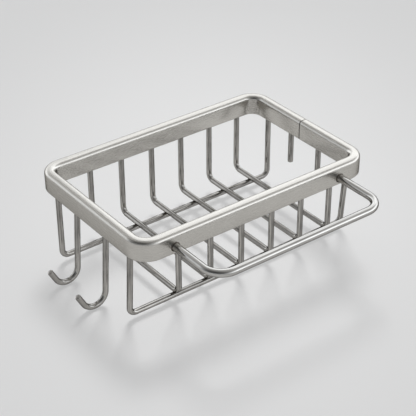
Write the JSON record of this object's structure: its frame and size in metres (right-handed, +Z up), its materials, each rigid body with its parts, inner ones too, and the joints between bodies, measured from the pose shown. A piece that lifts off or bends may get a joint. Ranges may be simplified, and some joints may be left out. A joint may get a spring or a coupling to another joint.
{
  "type": "sink caddy",
  "caption": "Open wire basket under a rounded bar rim, with upturned hooks at one end, short pegs at the other and a rail in front for a cloth.",
  "frame": {"origin": "middle of the footprint, on the surface that the caddy stands on", "axes": "+X along the caddy towards the pegs, with the hooks at -X; +Y to the back, with the cloth rail at -Y; +Z up"},
  "size_m": [0.2128, 0.1702, 0.069],
  "materials": {
    "rim_steel": "satin stainless steel bar with rounded edges",
    "rail_steel": "satin stainless steel rod",
    "wire_steel": "satin stainless steel wire"
  },
  "bodies": {
    "root": {"rim_band": "rim_steel", "cloth_rail": "rail_steel", "cross_wire_1": "wire_steel", "cross_wire_2": "wire_steel", "cross_wire_3": "wire_steel", "cross_wire_4": "wire_steel", "cross_wire_5": "wire_steel", "cross_wire_6": "wire_steel", "long_wire_front": "wire_steel", "long_wire_back": "wire_steel", "hook_front": "wire_steel", "hook_back": "wire_steel", "peg_front": "wire_steel", "peg_back": "wire_steel"}
  },
  "joints": []
}
